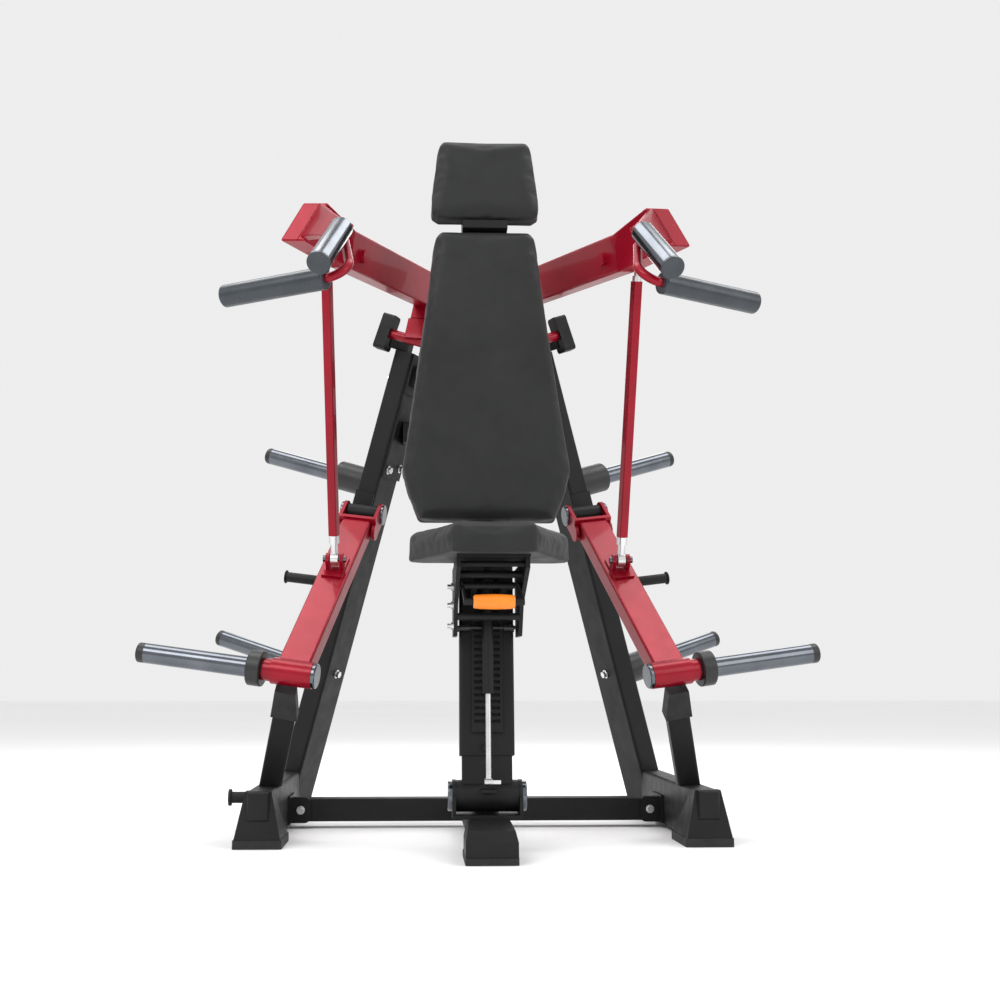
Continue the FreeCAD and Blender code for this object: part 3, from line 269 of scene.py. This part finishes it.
def upholster(node, name, back_normal, cap, voxel=0.005):
    """Swells a pad's cover over its foam by cloth pressure; the side on the board stays flat."""
    piece = pad_copy(node, name)
    normal = np.array(Vector(back_normal).normalized())
    remesh = piece.modifiers.new("remesh", "REMESH")
    remesh.mode = "VOXEL"
    remesh.voxel_size = voxel
    bake_modifiers(piece)
    smooth = piece.modifiers.new("smooth", "SMOOTH")
    smooth.iterations = 3
    bake_modifiers(piece)
    mesh = piece.data
    rest = points_of(mesh)
    normals = np.zeros(len(mesh.vertices) * 3)
    mesh.vertices.foreach_get("normal", normals)
    normals = normals.reshape(-1, 3)
    depth = rest @ normal
    from_back = depth.max() - depth
    loose = np.clip(from_back / 0.018, 0, 1)[:, None]
    start = rest - normals * PAD_SHRINK * loose
    mesh.vertices.foreach_set("co", start.ravel())
    mesh.update()
    cloth = piece.modifiers.new("cloth", "CLOTH")
    cloth.settings.quality = 4
    cloth.settings.mass = 0.4
    cloth.settings.tension_stiffness = 25
    cloth.settings.compression_stiffness = 25
    cloth.settings.shear_stiffness = 10
    cloth.settings.bending_stiffness = 6.0
    cloth.settings.use_pressure = True
    cloth.settings.uniform_pressure_force = 4
    cloth.settings.effector_weights.gravity = 0
    cloth.point_cache.frame_start = 1
    cloth.point_cache.frame_end = CLOTH_FRAMES
    for step in range(1, CLOTH_FRAMES + 1):
        scene.frame_set(step)
    bake_modifiers(piece)
    scene.frame_set(1)
    mesh = piece.data
    moved = points_of(mesh) - start
    reach = np.linalg.norm(moved, axis=1, keepdims=True)
    limited = moved * np.minimum(1.0, cap / np.maximum(reach, 1e-9))
    swollen = start + limited * loose
    mesh.vertices.foreach_set("co", swollen.ravel())
    mesh.update()
    settle = piece.modifiers.new("settle", "SMOOTH")
    settle.iterations = 8
    subdivide = piece.modifiers.new("subdivide", "SUBSURF")
    subdivide.levels = 1
    subdivide.render_levels = 1
    bake_modifiers(piece)
    for face in piece.data.polygons:
        face.use_smooth = True
    piece.data.materials.clear()
    piece.data.materials.append(leather)
    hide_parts(node)
    return piece


back_slope = (0, 1, -0.1)
backrest = upholster("backrest_pad", "backrest_cover", back_slope, PAD_RISE)
headrest = upholster("headrest_pad", "headrest_cover", back_slope, PAD_RISE)
seat = upholster("seat_pad", "seat_cover", (0, 0, -1), PAD_RISE)
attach(backrest, "frame")
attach(headrest, "frame")
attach(seat, "seat")

# ---- floor, light and camera ----------------------------------------------------------------
FLOOR_HALF = 30.0
WORLD_LEVEL = 0.85


def make_floor():
    """A plain pale floor."""
    mesh = bpy.data.meshes.new("floor")
    half = FLOOR_HALF
    corners = [(-half, -half, 0), (half, -half, 0), (half, half, 0), (-half, half, 0)]
    mesh.from_pydata(corners, [], [(0, 1, 2, 3)])
    floor = bpy.data.objects.new("floor", mesh)
    scene.collection.objects.link(floor)
    material, tree, shader = new_material("floor")
    tone = add_ramp(tree, add_noise(tree, 0.4, 2), [(0.3, (0.92, 0.92, 0.92)), (0.7, (0.94, 0.94, 0.94))])
    tree.links.new(tone, shader.inputs["Base Color"])
    shader.inputs["Roughness"].default_value = 0.85
    shader.inputs["Specular IOR Level"].default_value = 0.2
    mesh.materials.append(material)


def make_world():
    """A plain pale studio all round."""
    world = bpy.data.worlds.new("studio")
    world.use_nodes = True
    studio = world.node_tree.nodes["Background"]
    studio.inputs["Color"].default_value = (1, 1, 1, 1)
    studio.inputs["Strength"].default_value = WORLD_LEVEL
    scene.world = world


def soft_light(name, place, target, size, power):
    data = bpy.data.lights.new(name, "AREA")
    data.shape = "RECTANGLE"
    data.size, data.size_y = size
    data.energy = power
    light = bpy.data.objects.new(name, data)
    light.location = place
    light.rotation_euler = (Vector(target) - Vector(place)).to_track_quat("-Z", "Y").to_euler()
    scene.collection.objects.link(light)


make_floor()
make_world()
soft_light("key", (-2.4, -3.4, 3.4), (0, 0, 0.8), (2.8, 2.0), 85)
soft_light("fill", (3.2, -2.8, 2.4), (0, 0, 0.8), (2.4, 2.4), 40)
soft_light("top_left", (-1.35, 0.4, 4.4), (-1.0, 0, 0.6), (1.5, 2.8), 55)
soft_light("top_right", (1.75, 0.4, 4.4), (1.2, 0, 0.6), (1.5, 2.8), 55)
soft_light("rear", (0.6, 4.2, 3.2), (0, 0, 0.8), (3.0, 2.0), 40)
scene.view_settings.view_transform = "Standard"

lens = bpy.data.cameras.new("camera")
lens.lens = CAMERA_LENS
lens.shift_x = CAMERA_SHIFT
lens.clip_end = 100
camera = bpy.data.objects.new("camera", lens)
camera.location = CAMERA_PLACE
camera.rotation_euler = (math.radians(CAMERA_PITCH), 0, math.radians(CAMERA_YAW))
scene.collection.objects.link(camera)
scene.camera = camera
